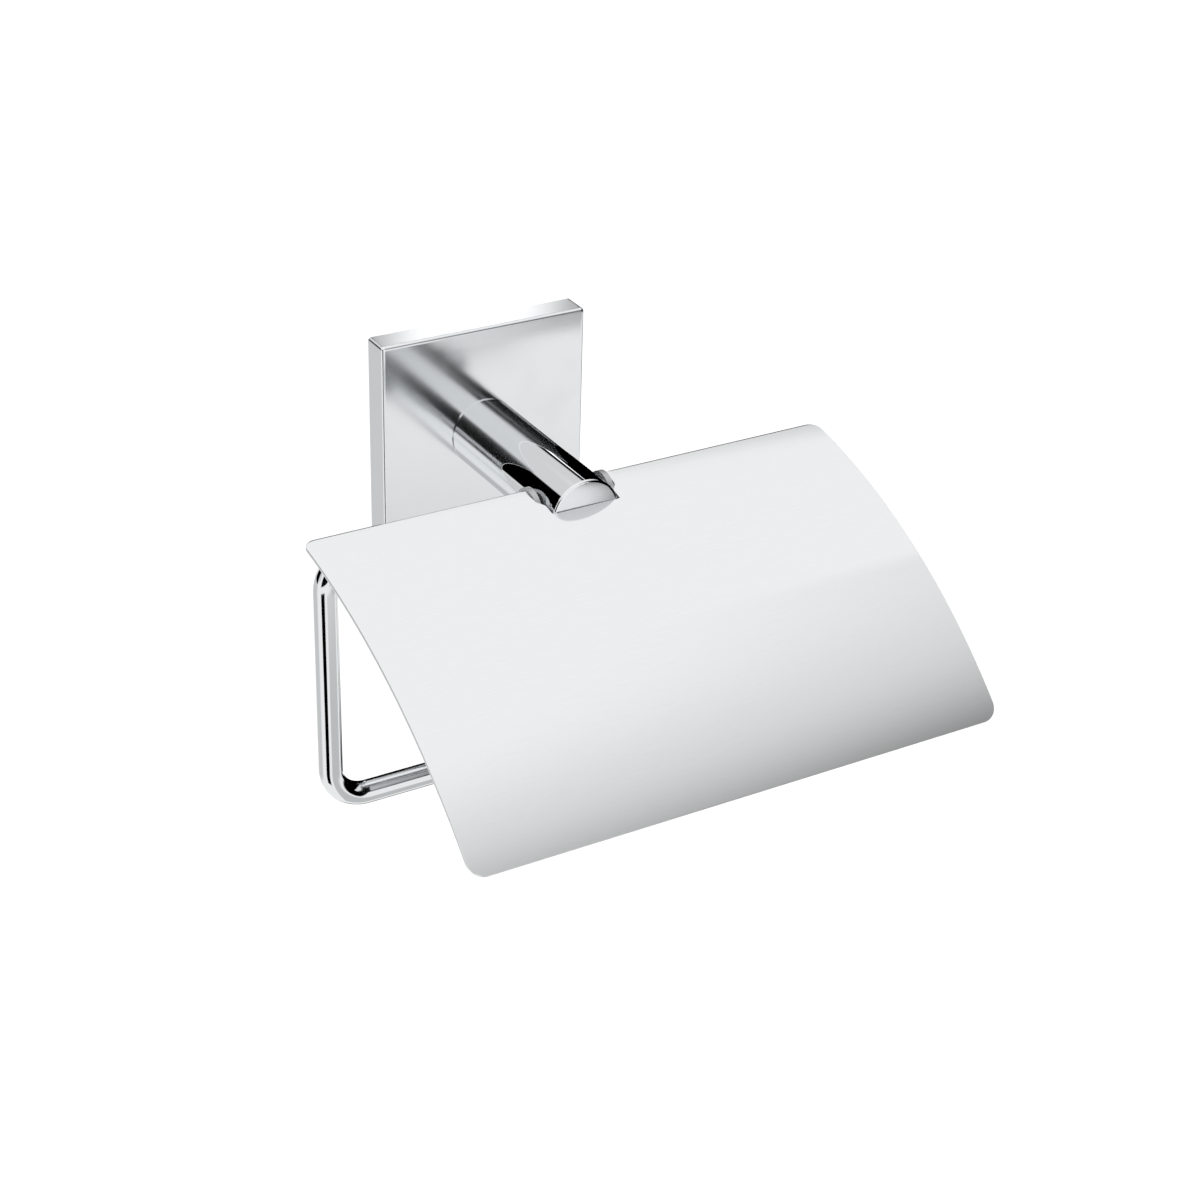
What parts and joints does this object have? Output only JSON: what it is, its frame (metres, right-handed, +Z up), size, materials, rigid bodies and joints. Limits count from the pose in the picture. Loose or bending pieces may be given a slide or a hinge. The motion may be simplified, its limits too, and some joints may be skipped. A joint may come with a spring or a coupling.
{
  "type": "toilet paper holder",
  "caption": "Wall-mounted toilet paper holder: square rosette, round post, bent wire roll arm and a curved, hinged sheet cover, all polished metal.",
  "frame": {"origin": "middle of the rosette's back face, on the wall", "axes": "+X along the wall towards the open end of the roll arm, -Y out from the wall, +Z up"},
  "size_m": [0.1377, 0.1273, 0.0956],
  "materials": {
    "chrome": "mirror-polished chrome plate on cast brass and bar",
    "chrome_wire": "mirror-polished chrome plate on drawn wire",
    "cover_sheet": "polished chrome-plated sheet, slightly soft in its reflections",
    "hinge_steel": "plain stainless, tumbled",
    "zinc_steel": "bright zinc plate",
    "screw_steel": "plain stainless",
    "bush_nylon": "moulded dark nylon"
  },
  "bodies": {
    "holder": {"wall_bracket": "zinc_steel", "rosette": "chrome", "set_screw": "screw_steel", "post": "chrome", "post_screw": "zinc_steel", "post_washer": "zinc_steel", "post_dowel": "screw_steel", "roll_wire": "chrome_wire", "wire_grub": "screw_steel"},
    "cover": {"cover": "cover_sheet", "hinge_leaf_left": "hinge_steel", "hinge_leaf_right": "hinge_steel", "hinge_bush_left": "bush_nylon", "hinge_bush_right": "bush_nylon"}
  },
  "joints": [
    {"name": "cover_hinge", "type": "hinge", "parent": "holder", "child": "cover", "pos_m": [0, -0.0475, 0], "axis": [1, 0, 0], "range_deg": [0, 67]}
  ]
}
